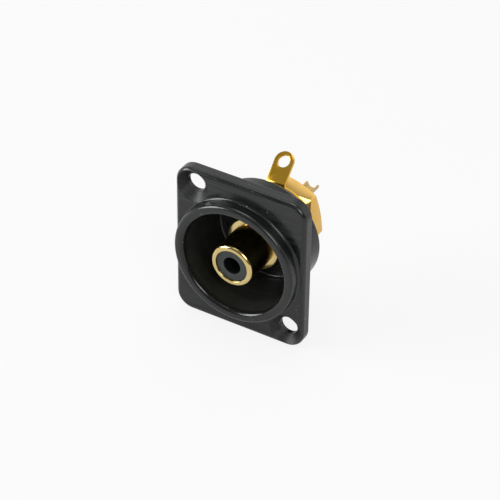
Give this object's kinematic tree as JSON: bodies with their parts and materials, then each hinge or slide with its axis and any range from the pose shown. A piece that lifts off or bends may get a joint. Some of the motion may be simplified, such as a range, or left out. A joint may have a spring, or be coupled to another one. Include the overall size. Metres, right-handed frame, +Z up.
{
  "type": "rca panel socket",
  "caption": "Coaxial socket for a panel: black moulded flange and round collar around a recessed gold sleeve, with a bent solder tab and a hexagon nut behind.",
  "frame": {"origin": "on the socket's axis, in the plane of the flange's rear face, midway between the two screw holes", "axes": "+Y along the socket's axis from the front to the cable side, +Z up along the flange's long side, +X to the right seen from the front"},
  "size_m": [0.026, 0.0291, 0.031],
  "materials": {
    "black_moulding": "satin, finely mottled",
    "gold_plate": "bright gold plate on turned or stamped brass",
    "insulator_plastic": "satin"
  },
  "bodies": {
    "root": {"housing": "black_moulding", "jack_sleeve": "gold_plate", "front_insulator": "insulator_plastic", "centre_contact": "gold_plate", "rear_insulator": "insulator_plastic", "solder_lug": "gold_plate", "lock_washer": "gold_plate", "hex_nut": "gold_plate"}
  },
  "joints": []
}
